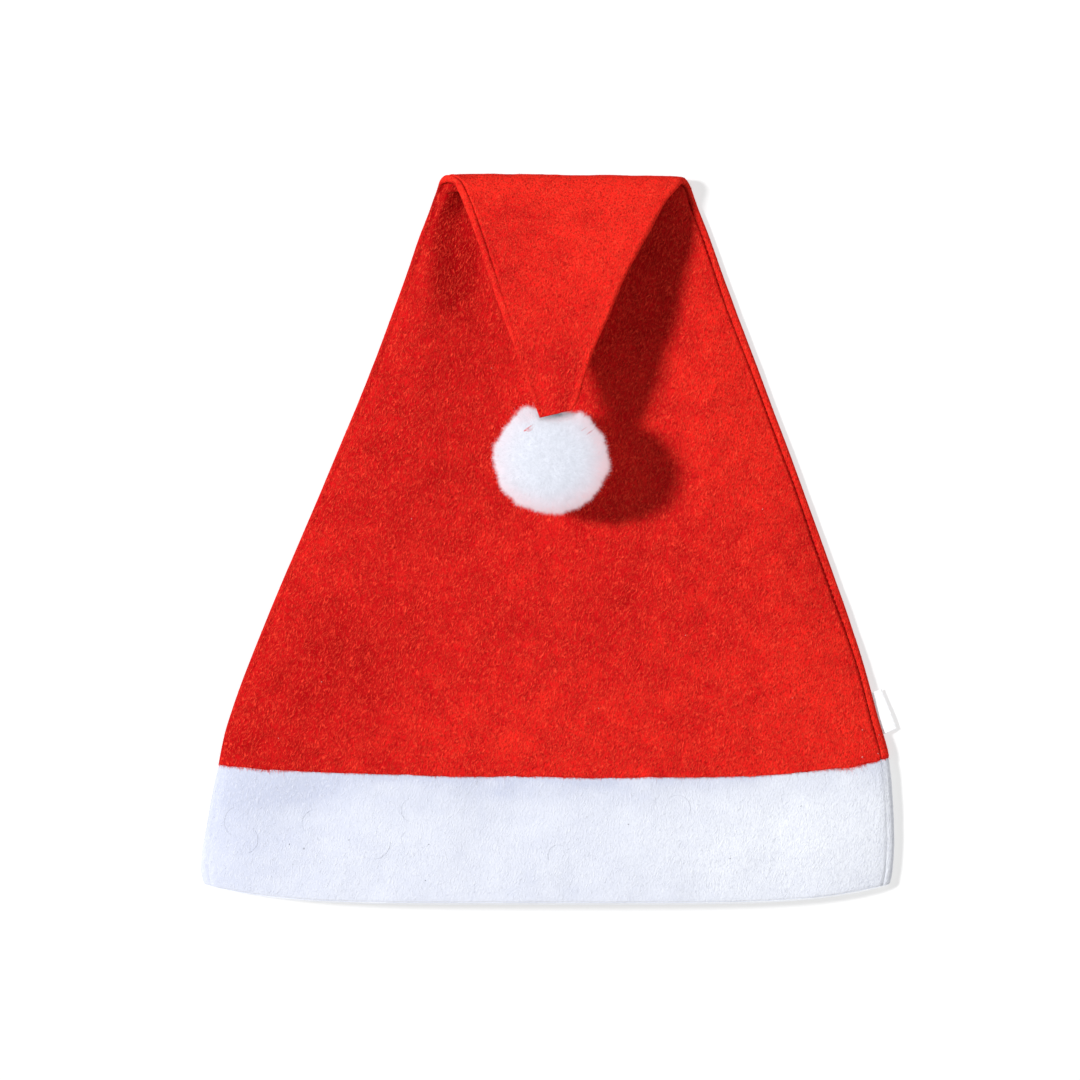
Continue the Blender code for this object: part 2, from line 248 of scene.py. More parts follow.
# Short fibres that lie over the felt: how many, their size and how far they lift off it
Nap = namedtuple("Nap", "name count length width lift")
CROWN_NAP = Nap("crown_nap", 17000, 1.5, 0.09, 0.4)
BAND_NAP = Nap("band_nap", 5000, 2.6, 0.05, 0.2)
NAP_WAY = np.array((0.34, 0.94, 0.0))
NAP_CLEAR_OF_FLOOR = 0.6

# Red fibres that stray from the rim, and where along X they are longer: place, reach, how much longer
FRINGE_FIBRES = 5200
FRINGE_FRONT_Z = 3.5
LONG_FRINGE = ((125.0, 7.0, 1.6), (-122.0, 12.0, 1.0))

# The pompom's pile, in two pieces that both cover it: the fibres of each, the clumps that they gather
# in, and where the fibres' roots and the packed middle lie, as shares of the pompom's full reach
PILE_FIBRES = 19000
PILE_CLUMPS = 900
PILE_ROOTS = 0.8
PILE_CORE = 0.84

# Colours of the pile: in the open, with painted red light bounced from the felt, and with painted shadow
# in the gap under the hat's point
PILE_WHITE = (0.89, 0.915, 1.0)
PILE_RED_BOUNCE = (0.97, 0.72, 0.77)
PILE_GAP_SHADOW = (0.16, 0.19, 0.22)

# The gap between the hat's point and the pompom, where shadow is painted on the pile: over which X it
# opens and closes, and its floor
GAP_OPENS = (-5.4, -4.0)
GAP_CLOSES = (9.5, 12.5)
GAP_DEEPENS = (-4.0, 4.0)
GAP_FLOOR_Z = 27.0

# The space that the hat's point fills, where no fibre ends: its middle and reach along X, its Y and Z
POINT_FILLS_X = 3.2
POINT_FILLS_REACH = 8.2
POINT_FILLS_Y = 50.0
POINT_FILLS_Z = 33.0

# Thread stitches: how thick and long one is, and how far its ends sink
STITCH_RADIUS = 0.2
STITCH_LENGTH = 1.7
STITCH_SINK = 0.4

# Felt's fine structure: which ways its streaks and grain lie, in degrees, and the grain's fineness
STREAK_TURNS = (4.0, 20.0, 40.0)
GRAIN_TURN = 20.0
GRAIN_SCALE = (1500.0, 850.0, 1500.0)

# A short fibre has a ring of points at its root, another half way and one at its tip
FIBRE_SIDES = 3
FIBRE_POINTS = 2 * FIBRE_SIDES + 1
CURL_RINGS = 15

# Painted glow where the band turns in at the hem, an emitted colour standing in for light that shines
# through the felt
PAINTED_EDGE_GLOW = (0.52, 0.53, 0.55)

# The camera looks straight down: its height and the width that it covers, in metres
CAMERA_HEIGHT = 2.3
CAMERA_COVERS = 0.4536
SENSOR_WIDTH = 36.0

PANEL_STEPS = 90
EDGE_STEP = 0.3
EDGE_STEPS = 18
CAP_STEPS = 8
BODY_STEP = 1.6
LINING_STEP = 7.0
FOLD_STEPS = 16
FLAP_STEPS = 68


def smooth_read(rows, at):
    """A row read smoothly from the table, at a value of its first column."""
    keys = [row[0] for row in rows]
    at = min(max(at, keys[0]), keys[-1])
    upper = next(i for i in range(1, len(keys)) if at <= keys[i])
    lower = upper - 1
    span = keys[upper] - keys[lower]
    share = (at - keys[lower]) / span

    def slope(index, column):
        before, after = max(index - 1, 0), min(index + 1, len(rows) - 1)
        return (rows[after][column] - rows[before][column]) / (keys[after] - keys[before])

    values = []
    for column in range(len(rows[0])):
        start, end = rows[lower][column], rows[upper][column]
        leaves, arrives = slope(lower, column) * span, slope(upper, column) * span
        values.append(
            start * (2 * share**3 - 3 * share**2 + 1)
            + leaves * (share**3 - 2 * share**2 + share)
            + end * (3 * share**2 - 2 * share**3)
            + arrives * (share**3 - share**2)
        )
    return rows[0]._make(values)


def ease(low, high, value):
    """A smooth rise from 0 at low to 1 at high, for numbers and arrays."""
    share = np.clip((value - low) / (high - low), 0.0, 1.0)
    return share * share * (3 - 2 * share)


def unit(vectors):
    """Vectors of length one."""
    return vectors / np.maximum(np.linalg.norm(vectors, axis=-1, keepdims=True), 1e-9)


def corner_drop(x, y):
    """How far the fold's line lies below a straight one: it falls to the right, with round corners."""
    from_left = np.maximum(0.0, x - LEFT_CORNER_X)
    from_right = np.maximum(0.0, RIGHT_CORNER_X - x)
    drop = LEFT_CORNER_DROP * np.exp(-from_left / CORNER_REACH)
    drop = drop + RIGHT_CORNER_DROP * np.exp(-from_right / CORNER_REACH)
    drop = drop + FOLD_LINE_DROP * from_left / (RIGHT_CORNER_X - LEFT_CORNER_X)
    return drop * ease(CORNER_BEGINS_Y, FOLD_START_Y, y)


def spread(table, x, y):
    """The sum of a table's soft oval spots at each place."""
    total = np.zeros_like(x)
    for spot in table:
        away = ((x - spot.x) / spot.reach_x) ** 2 + ((y - spot.y) / spot.reach_y) ** 2
        total += spot[4] * np.exp(-away)
    return total


def rim_rise(x, y):
    """How far the rim's small waves lift the felt near it along Y."""
    keys = [wave.x for wave in RIM_WAVES]
    waves = np.interp(x, keys, [wave.rise for wave in RIM_WAVES])
    ripple = 0.14 * np.sin(x * 0.63 + 2.1 * np.sin(x * 0.17)) + 0.09 * np.sin(x * 1.7 + np.sin(x * 0.4))
    waves = waves + ripple * np.exp(-abs(y - RIM_Y) / 2.5)
    return waves * np.exp(-abs(y - RIM_Y) / 9.0)


def lump_height(points):
    """How high the felt stands at each point."""
    heights = np.zeros(len(points))
    for lump in FELT_LUMPS:
        scaled = points / (lump.wide, lump.long, lump.wide) + lump.seed
        heights += lump.height * np.array([noise.noise(Vector(p)) for p in scaled])
    return heights


def fold_arc(turn):
    """The fold's outer skin after a turn in degrees, as (y, z) and its direction."""
    angle = math.radians(turn)
    point = Vector((math.sin(angle), 1 - math.cos(angle))) * FOLD_RADIUS
    return point + Vector((FOLD_START_Y, 0.0)), Vector((math.cos(angle), math.sin(angle)))


def flap_curve(share):
    """The flap's upper skin from the end of the fold to the point, as (y, z) and its direction."""
    start, heading = fold_arc(FOLD_TURN)
    end = Vector((POINT_Y, POINT_Z))
    knots = (start, start + heading * 40.0, end + Vector((30.0, 2.0)), end)
    rest = 1.0 - share
    weights = (rest**3, 3 * rest**2 * share, 3 * rest * share**2, share**3)
    point = sum((knot * weight for knot, weight in zip(knots, weights)), Vector((0.0, 0.0)))
    steps = [knots[i + 1] - knots[i] for i in range(3)]
    along = steps[0] * rest**2 + steps[1] * 2 * rest * share + steps[2] * share**2
    return point, along.normalized()


class Cut:
    """One cut across the flattened tube, from its skin on the back panel to its front panel."""

    def __init__(self, skin, along, row, slant=0.0, lifted=0.0):
        self.skin = skin
        self.along = along
        self.row = row
        self.slant = slant
        self.lifted = lifted
        self.on_body = isinstance(row, BodyRow)
        self.crown_power = 0.6 if self.on_body else 0.8
        self.radius = FELT + row.edge_gap / 2
        self.room = row.right - row.left - 2 * self.radius
        edge = np.arange(EDGE_STEPS) * min(EDGE_STEP, self.room * 0.3 / EDGE_STEPS)
        middle = np.linspace(edge[-1], self.room - edge[-1], PANEL_STEPS)[1:-1]
        self.stations = np.concatenate((edge, middle, self.room - edge[::-1]))

    def across(self, x):
        """The share of the way from the left edge to the right edge."""
        return (x - self.row.left) / (self.row.right - self.row.left)

    def place(self, x, depth):
        """The points at x, and at a depth from the back skin towards the front."""
        across = self.across(x)
        forward = -self.slant * (across - 0.5)
        if self.on_body:
            forward = forward + self.row.lean * depth
            forward = forward - self.row.bow * (1 - np.abs(2 * across - 1) ** self.row.square)
            forward = forward + rim_rise(x, self.skin.x)
        y = self.skin.x + self.along.x * forward - self.along.y * depth
        z = self.skin.y + self.along.y * forward + self.along.x * depth
        return np.stack((x, y - corner_drop(x, y), z), axis=-1)

    def front_depth(self, x):
        """How far the front skin lies from the back skin: the seam allowances lie flat."""
        strip = min(3.2, self.room * 0.12)
        within = np.clip((x - self.row.left - strip) / (self.row.right - self.row.left - 2 * strip), 0, 1)
        arch = np.sin(np.pi * within) ** self.crown_power
        depth = 2 * FELT + self.row.edge_gap + self.row.belly * arch * (0.86 if self.on_body else 1.0)
        if self.on_body:
            bent = self.place(x, np.zeros_like(x))[:, 1]
            depth = depth + spread(FRONT_DENTS, x, bent) * np.minimum(1.0, arch * 1.6)
        return np.maximum(depth + self.corner_fill(x), 2 * FELT + 0.3)

    def corner_fill(self, x):
        """How far the felt bunches up inside the fold's left corner."""
        near_fold = float(ease(132.0, FOLD_START_Y, self.skin.x)) * max(0.0, self.along.x)
        from_left = x - self.row.left
        return CORNER_FILL * near_fold * ease(1.6, 6.0, from_left) * (1 - ease(7.0, 17.0, from_left))

    def seam_place(self):
        """How far a side seam lies from the end of the flat part of a panel."""
        from_edge = np.interp(self.skin.x, SEAM_PLACES_Y, SEAM_PLACES) if self.on_body else 3.0
        return max(0.3, min(from_edge - self.radius, self.room * 0.22))

    def seam(self, stations, depth):
        """How far a side seam sinks the felt, and how far the felt swells beside it."""
        away = stations - self.seam_place()
        groove = depth * np.exp(-((away / SEAM_WIDTH) ** 2))
        return groove - 0.22 * depth * np.exp(-(((np.abs(away) - 1.3) / 0.8) ** 2))

    def loop(self, inset, front_rise=0.0, lumpy=False, seam_depth=SEAM_DEPTH):
        """The closed line of points round the tube, at a depth below its outer skin."""
        left, right = self.row.left + self.radius, self.row.right - self.radius
        x = left + self.stations
        sunk = seam_depth if inset < FELT / 2 else 0.0
        back_seam = self.seam(self.stations, sunk * self.lifted * self.seam_fade())
        back = self.place(x, inset + back_seam + self.pleats(x))
        front_seam = self.seam(self.room - self.stations, sunk)
        front = self.place(x, self.front_depth(x) - inset + front_rise - front_seam)
        points = np.concatenate((back, self.cap(right, inset, 1), front[::-1], self.cap(left, inset, -1)))
        if lumpy:
            points = points + self.outward(points) * (lump_height(points) * self.freedom())[:, None]
        return points

    def pleats(self, x):
        """Soft lengthwise ridges where the flap is gathered towards its point."""
        gathered = 0.0 if self.on_body else 1 - float(ease(62.0, 100.0, self.skin.x))
        across = self.across(x)
        inside = ease(0.0, 0.18, across) * ease(0.0, 0.18, 1 - across)
        return PLEAT_DEPTH * gathered * inside * np.cos(2 * np.pi * (1.35 * across - 0.2))

    def seam_fade(self):
        """How much of the left seam still shows: it is pulled smooth towards the point."""
        return 0.1 + 0.9 * float(ease(84.0, 120.0, self.skin.x))

    def cap(self, centre_x, inset, side):
        """The points round a side edge, between the two panels."""
        angle = np.pi * np.arange(1, CAP_STEPS) / CAP_STEPS
        reach = (self.radius - inset) * np.sin(angle)
        depth = self.radius - side * (self.radius - inset) * np.cos(angle)
        return self.place(centre_x + side * reach, depth)

    def outward(self, points):
        """The way out of the tube at each point of a loop."""
        tangent = unit(np.roll(points, -1, axis=0) - np.roll(points, 1, axis=0))
        return unit(np.cross(tangent, (0.0, self.along.x, self.along.y)))

    def freedom(self):
        """How freely each point of a loop may stand proud: not at all where the back panel lies down."""
        count = len(self.stations)
        up = (1 - np.cos(np.pi * np.arange(1, CAP_STEPS) / CAP_STEPS)) / 2
        rise = self.lifted + (1 - self.lifted) * up
        back = np.full(count, self.lifted)
        return np.concatenate((back, rise, np.ones(count), rise[::-1]))


def body_cut(y):
    """A cut of the part that lies on the floor."""
    return Cut(Vector((y, 0.0)), Vector((1.0, 0.0)), smooth_read(BODY_ROWS, y))


def folded_cuts(fold_steps, flap_steps):
    """The cuts from the start of the fold to the point."""
    cuts = []
    for i in range(1, fold_steps + 1):
        turn = FOLD_TURN * i / fold_steps
        lifted = float(ease(10.0, 80.0, turn))
        cuts.append(Cut(*fold_arc(turn), smooth_read(ROLL_ROWS, turn), lifted=lifted))
    for i in range(1, flap_steps + 1):
        share = i / flap_steps
        skin, along = flap_curve(share)
        cuts.append(
            Cut(skin, along, smooth_read(FLAP_ROWS, skin.x), slant=POINT_SLANT * share**4, lifted=1.0)
        )
    return cuts


def mesh_piece(name, points, faces):
    """A piece from points in millimetres and faces of three or four corners."""
    data = bpy.data.meshes.new(name)
    data.vertices.add(len(points))
    data.vertices.foreach_set("co", (np.asarray(points) * MM).astype(np.float32).ravel())
    sizes = np.concatenate([np.full(len(group), group.shape[1]) for group in faces])
    corners = np.concatenate([group.ravel() for group in faces])
    starts = np.concatenate(((0,), np.cumsum(sizes)[:-1]))
    data.loops.add(len(corners))
    data.loops.foreach_set("vertex_index", corners.astype(np.int32))
    data.polygons.add(len(sizes))
    data.polygons.foreach_set("loop_start", starts.astype(np.int32))
    data.update(calc_edges=True)
    data.validate()
    data.shade_smooth()
    piece = bpy.data.objects.new(name, data)
    bpy.context.scene.collection.objects.link(piece)
    return piece


def ring_faces(rings, count, closes):
    """Quads that join rings of points, one after another."""
    ring = np.arange(rings - (0 if closes else 1))[:, None] * count
    following = (np.arange(1, rings + (1 if closes else 0))[:, None] % rings) * count
    step = np.arange(count)[None, :]
    turn = (step + 1) % count
    return np.stack((ring + step, ring + turn, following + turn, following + step), axis=-1).reshape(-1, 4)


def end_faces(first, count, flip):
    """Quads that close a flat ring of points, each from one panel to the other."""
    half = count // 2
    near = np.arange(half - 1)
    far = count - 1 - near
    shift = CAP_STEPS // 2
    quads = np.stack((near, near + 1, far - 1, far), axis=-1)
    quads = (quads - shift) % count + first
    return quads[:, ::-1] if flip else quads


def points_outward(piece):
    """Turns a closed piece's faces outward."""
    mesh = bmesh.new()
    mesh.from_mesh(piece.data)
    if mesh.calc_volume(signed=True) < 0:
        bmesh.ops.reverse_faces(mesh, faces=mesh.faces)
    mesh.to_mesh(piece.data)
    mesh.free()


def even_steps(low, high, step):
    """Even steps from low to high, no longer than step."""
    count = math.ceil((high - low) / step)
    return [low + (high - low) * i / count for i in range(count + 1)]


# Where the crown's outer skin is rounded at the rim and at the point: distance, depth below the skin
RIM_ROUNDING = ((-0.45, 0.62), (-0.42, 0.4), (-0.3, 0.2), (-0.1, 0.1), (0.2, 0.05), (0.7, 0.0))
POINT_ROUNDING = ((0.25, 0.08), (0.45, 0.3), (0.55, 0.6), (0.58, 0.95))

# The loop of that skin from which the red fibres stray over the band
RIM_LOOP = 3


def crown_loops():
    """The crown's outer loops from the rim to the point, and its lining's from rim to point."""
    floor_rows = even_steps(RIM_Y + 1.4, FOLD_START_Y, BODY_STEP)
    outer = [body_cut(RIM_Y + y).loop(inset, lumpy=inset < 0.06) for y, inset in RIM_ROUNDING]
    outer += [body_cut(y).loop(0.0, lumpy=True) for y in floor_rows]
    outer += [cut.loop(0.0, lumpy=True) for cut in folded_cuts(FOLD_STEPS, FLAP_STEPS)]
    end = folded_cuts(FOLD_STEPS, FLAP_STEPS)[-1]
    for further, inset in POINT_ROUNDING:
        rounded = Cut(end.skin + end.along * further, end.along, end.row, slant=end.slant, lifted=1.0)
        outer.append(rounded.loop(inset))
    lining = [body_cut(RIM_Y + y).loop(inset) for y, inset in ((-0.42, 0.95), (-0.2, FELT))]
    lining += [body_cut(y).loop(FELT) for y in even_steps(RIM_Y + 1.0, FOLD_START_Y, LINING_STEP)]
    lining += [cut.loop(FELT) for cut in folded_cuts(5, 10)[:-1]]
    return outer, lining


def build_crown():
    """The red felt tube, open at the rim and closed at the point."""
    outer, lining = crown_loops()
    count = len(outer[0])
    points = np.concatenate(outer[::-1] + lining)
    rings = len(outer) + len(lining)
    faces = [
        ring_faces(rings, count, closes=False),
        end_faces(0, count, flip=True),
        end_faces((rings - 1) * count, count, flip=False),
    ]
    piece = mesh_piece("crown_felt", points, faces)
    points_outward(piece)
    x, y, z = points.T
    # The turned-over flap is lighter as a whole for its nap, and its spots add painted light near the fold
    # and darken it in places; a painted highlight runs along the right-hand end of every loop
    turned_over = np.maximum(ease(9.5, 15.0, z), ease(147.0, 150.0, y))
    brushed = spread(NAP_AND_PAINTED_LIGHT_SPOTS, x, y) * (1 - turned_over)
    brushed += (0.5 + spread(FLAP_NAP_AND_PAINTED_LIGHT_SPOTS, x, y)) * turned_over
    paint(piece, "brushed", brushed + 1.1 * right_edge(points, count, 1.6))
    return piece, np.array(outer)


def right_edge(points, count, reach):
    """How near each point lies to the right end of its loop, from 0 to 1."""
    x = points[:, 0].reshape(-1, count)
    inside = x.max(axis=1, keepdims=True) - x
    return np.exp(-((inside / reach) ** 2)).ravel()


def paint(piece, name, values):
    """Stores one number at each point of a piece, for its material to read."""
    layer = piece.data.attributes.new(name, "FLOAT", "POINT")
    layer.data.foreach_set("value", np.asarray(values, dtype=np.float32))


def band_profile():
    """The band's cut: places along Y with the depth below the skin and the front's extra rise."""
    tuck_top = RIM_Y + TUCK_DEPTH
    tucked = FELT + 0.3
    rows = [(tuck_top, tucked, 0.0), (tuck_top - 2.0, tucked, 0.0), (RIM_Y + 0.4, tucked, 0.0)]
    for y in even_steps(0.2, RIM_Y - MOUTH_Y - FELT, 1.25):
        dip = 0.12 * math.exp(-y / 1.6) + 0.32 * math.exp(-y / 5.0)
        hem_rise = 0.12 * float(ease(-0.8, 0.8, RIM_Y - y - MOUTH_Y - HEM_DEPTH))
        rows.append((RIM_Y - y, dip, 0.12 - hem_rise))
    for i in range(1, 8):
        angle = math.pi * i / 8
        rows.append((MOUTH_Y + FELT * (1 - math.sin(angle)), FELT * (1 - math.cos(angle)), 0.1))
    rows += [(MOUTH_Y + y, 2 * FELT, 0.0) for y in even_steps(FELT, HEM_DEPTH, 5.0)]
    rows += [(MOUTH_Y + HEM_DEPTH + 0.2, 1.7 * FELT, 0.0), (MOUTH_Y + HEM_DEPTH + 0.3, FELT, 0.0)]
    rows += [(y, FELT, 0.0) for y in even_steps(MOUTH_Y + HEM_DEPTH + 3.0, RIM_Y - 12.0, 5.0)]
    rows += [(RIM_Y - 4.0, 2.1 * FELT, 0.0), (RIM_Y, tucked + FELT, 0.0), (tuck_top, tucked + FELT, 0.0)]
    return rows


def build_band():
    """The white felt ring: tucked inside the rim, out over the band, round the hem and up inside."""
    rows = band_profile()
    loops = []
    for y, inset, rise in rows:
        lumpy = inset < 0.5 * FELT and y < RIM_Y
        loops.append(body_cut(y).loop(inset, front_rise=rise, lumpy=lumpy, seam_depth=0.07))
    count = len(loops[0])
    points = np.concatenate(loops)
    piece = mesh_piece("band_felt", points, [ring_faces(len(rows), count, closes=True)])
    points_outward(piece)
    below = RIM_Y - np.repeat([row[0] for row in rows], count)
    # Painted shade just under the red rim, uneven along it and fading down the band
    uneven = np.array([noise.noise(Vector((x * 0.045, y * 0.12, 2.0))) for x, y in points[:, :2]])
    painted_band_light_and_shade = np.exp(-np.maximum(below, 0.0) / 5.5) * (1.15 + 1.1 * uneven)
    hem = np.repeat([float(ease(1.6, 0.0, row[0] - MOUTH_Y)) for row in rows], count)
    turned_in = np.repeat([float(ease(0.1, 0.9, row[1])) for row in rows], count)
    # Painted light along the band's right-hand end and at the hem, taken off the painted shade
    edges = 1.4 * right_edge(points, count, 2.4) + 0.4 * hem
    # Painted glow where the band turns in at the hem
    paint(piece, "painted_edge_glow", hem * turned_in)
    paint(piece, "painted_band_light_and_shade", painted_band_light_and_shade + spread(SHADED, points[:, 0], points[:, 1]) - edges)
    shown = [i for i, row in enumerate(rows) if row[1] < 0.3 and row[0] < RIM_Y]
    return piece, np.array(loops)[shown[0]:shown[-1] + 1]


def round_about(side, up):
    """The ways out of a fibre's middle, evenly all round, from two ways across it."""
    angle = 2 * np.pi * np.arange(FIBRE_SIDES) / FIBRE_SIDES
    return side[:, None] * np.cos(angle)[None, :, None] + up[:, None] * np.sin(angle)[None, :, None]


def fibre_mesh(name, roots, ways, bends, lengths, widths, rng):
    """Thin three-sided fibres that stand on their roots, each bent half way along."""
    ways = unit(ways)
    side = unit(np.cross(ways, rng.normal(size=ways.shape)))
    around = round_about(side, np.cross(ways, side))
    mids = roots + ways * (lengths * 0.5)[:, None]
    tips = mids + unit(ways + bends) * (lengths * 0.5)[:, None]
    low = roots[:, None] + around * (widths * 0.5)[:, None, None]
    mid = mids[:, None] + around * (widths * 0.42)[:, None, None]
    points = np.concatenate((low, mid, tips[:, None]), axis=1)
    sides = ((0, 1, 4), (0, 4, 3), (1, 2, 5), (1, 5, 4), (2, 0, 3), (2, 3, 5))
    tip = ((3, 4, 6), (4, 5, 6), (5, 3, 6))
    root = ((2, 1, 0),)
    pattern = np.array(sides + tip + root)
    faces = (np.arange(len(roots))[:, None, None] * FIBRE_POINTS + pattern[None]).reshape(-1, 3)
    return mesh_piece(name, points.reshape(-1, 3), [faces])


def scatter(grid, count, rng):
    """Random places on a grid of points that are clear of the floor, with the way out of the surface."""
    a, b = grid[:-1], grid[1:]
    across = np.roll(a, -1, axis=1) - a
    up = b - a
    normals = np.cross(across, up)
    areas = np.linalg.norm(normals, axis=-1) * (a[..., 2] > NAP_CLEAR_OF_FLOOR)
    chosen = rng.choice(areas.size, size=count, p=(areas / areas.sum()).ravel())
    row, step = np.unravel_index(chosen, areas.shape)
    u, v = rng.random(count)[:, None], rng.random(count)[:, None]
    roots = a[row, step] + across[row, step] * u + up[row, step] * v
    return roots, unit(normals[row, step])


def build_nap(nap, grid, rng):
    """Short fibres lying over a felt surface, most of them leaning the way that the felt's nap lies."""
    roots, out = scatter(grid, nap.count, rng)
    heading = rng.normal(size=out.shape) * 0.38 + NAP_WAY
    lying = unit(heading - out * (heading * out).sum(axis=1, keepdims=True))
    lift = nap.lift * rng.uniform(0.1, 1.0, size=(nap.count, 1)) ** 1.5
    lengths = nap.length * rng.uniform(0.5, 1.3, size=nap.count)
    widths = nap.width * rng.uniform(0.7, 1.2, size=nap.count)
    bends = rng.normal(size=out.shape) * 0.28 - out * lift * 1.4
    return fibre_mesh(nap.name, roots - out * 0.05, lying + out * lift, bends, lengths, widths, rng)


def seat_share(ways):
    """How near each way out of the pompom is to where the point is sewn on, from 0 to 1."""
    angle = np.degrees(np.arccos(np.clip(unit(ways) @ unit(POMPOM_SEAT), -1, 1)))
    return 1 - ease(14.0, 32.0, angle)


def pompom_surface(ways, share):
    """Points of the pompom along ways out of its middle, at a share of its full reach."""
    ways = unit(ways)
    reach = 1 / np.linalg.norm(ways / POMPOM_REACH, axis=-1)
    reach *= 1 + np.array(
        [0.055 * noise.noise(Vector(way) * 3.4) + 0.045 * noise.noise(Vector(way) * 8.0) for way in ways]
    )
    for way, rise, wide in POMPOM_TUFTS:
        beside = np.degrees(np.arccos(np.clip(ways @ unit(way), -1, 1)))
        reach *= 1 + rise * np.exp(-((beside / wide) ** 2))
    reach *= 1 - 0.2 * seat_share(ways)
    points = POMPOM_CENTRE + ways * (reach * share)[:, None]
    resting = body_cut(POMPOM_CENTRE[1]).front_depth(POMPOM_CENTRE[:1])[0] + 0.5
    points[:, 2] = np.maximum(points[:, 2], resting)
    return points


def build_pompom_core():
    """The pompom's packed middle, which shows between the fibres."""
    deselect_all()
    bpy.ops.mesh.primitive_ico_sphere_add(subdivisions=5, radius=1.0)
    piece = bpy.context.object
    piece.name = piece.data.name = "pompom_core"
    ways = np.array([vertex.co for vertex in piece.data.vertices])
    points = pompom_surface(ways, np.full(len(ways), PILE_CORE))
    piece.data.vertices.foreach_set("co", (points * MM).astype(np.float32).ravel())
    piece.data.shade_smooth()
    # Painted gap shadow and painted red bounce on the packed middle
    paint(piece, "clear_of_painted_shadow", clear_of_painted_shadow(points))
    paint(piece, "painted_red_bounce", painted_red_bounce(points))
    paint(piece, "shade", np.full(len(points), 0.88))
    return piece


def clear_of_painted_shadow(points):
    """How clear each place on the pompom is of the shadow painted in the gap under the hat's point: 0 in
    the gap, 1 outside it.
    """
    x, y, z = points.T
    under = ease(*GAP_OPENS, x) * (1 - ease(*GAP_CLOSES, x)) * (z > GAP_FLOOR_Z)
    deepening = 0.35 + 0.65 * ease(*GAP_DEEPENS, x)
    past_tip = y - (POINT_Y - 2.3 + (x + 4.6) * 0.24)
    shadow = 0.8 * ease(-1.5, -0.2, past_tip) + 0.18 * ease(-7.0, -1.0, past_tip)
    return 1 - shadow * deepening * under * (1 - ease(2.0, 5.0, past_tip))


def painted_red_bounce(points):
    """How much painted red bounce light each place gets, as if from the red felt: most low down, at the
    right and below, and on the tuft beside the point.
    """
    ways = unit(points - POMPOM_CENTRE)
    low = ease(0.1, 1.0, 1 - ways[:, 2])
    turned = ease(-1.0, 0.9, 0.75 * ways[:, 0] - 0.6 * ways[:, 1])
    beside_point = ease(0.93, 0.99, ways @ unit(POMPOM_TUFTS[0][0]))
    return np.maximum(low * (0.35 + 0.65 * turned), 0.45 * beside_point)


def build_pile(name, rng):
    """Fine fibres that stand out of the pompom, gathered into small clumps."""
    count = PILE_FIBRES
    ways = unit(rng.normal(size=(count, 3)))
    clumps = unit(rng.normal(size=(PILE_CLUMPS, 3)))
    nearest = np.argmax(ways @ clumps.T, axis=1)
    roots = pompom_surface(ways, np.full(count, PILE_ROOTS))
    gathered = unit(ways * 0.72 + clumps[nearest] * 0.28 + rng.normal(size=ways.shape) * 0.07)
    tips = pompom_surface(gathered, rng.uniform(0.92, 1.0, size=count) + 0.045 * rng.random(count) ** 8)
    ways_out = tips - roots
    lengths = np.linalg.norm(ways_out, axis=1)
    bends = rng.normal(size=ways.shape) * 0.35
    widths = rng.uniform(0.1, 0.16, size=count)
    x, y, z = tips.T
    shown = (y <= POINT_FILLS_Y) | (np.abs(x - POINT_FILLS_X) >= POINT_FILLS_REACH) | (z <= POINT_FILLS_Z)
    kept = [values[shown] for values in (roots, ways_out, bends, lengths, widths)]
    piece = fibre_mesh(name, *kept, rng)
    places = np.array([vertex.co / MM for vertex in piece.data.vertices])
    tufted = rng.random(len(clumps))[nearest][shown] * 0.7 + rng.random(shown.sum()) * 0.3
    tufted = np.repeat(tufted, FIBRE_POINTS)
    # Painted gap shadow and painted red bounce, uneven from clump to clump
    paint(piece, "clear_of_painted_shadow", 1 - (1 - clear_of_painted_shadow(places)) * (0.6 + 0.7 * tufted))
    paint(piece, "painted_red_bounce", painted_red_bounce(places) * (0.55 + 0.9 * tufted))
    paint(piece, "shade", 0.9 + 0.13 * tufted)
    return piece


def seam_frames(cuts):
    """Where the right seam's stitches sit, the way along it and the way out of the felt there."""
    line = []
    for cut in cuts:
        x = np.array([cut.row.right - cut.radius - cut.seam_place()])
        line.append(cut.place(x, cut.front_depth(x) - SEAM_DEPTH * 0.62)[0])
    line = np.array(line)
    run = np.concatenate(((0.0,), np.cumsum(np.linalg.norm(np.diff(line, axis=0), axis=1))))
    at = np.arange(STITCH_PITCH, run[-1], STITCH_PITCH)
    spots = np.stack([np.interp(at, run, line[:, axis]) for axis in range(3)], axis=1)
    ahead = np.stack([np.interp(at + 0.5, run, line[:, axis]) for axis in range(3)], axis=1)
    along = unit(ahead - spots)
    out = np.zeros_like(along)
    out[:, 2] = 1.0
    out = unit(out - along * (out * along).sum(axis=1, keepdims=True))
    return spots, along, out


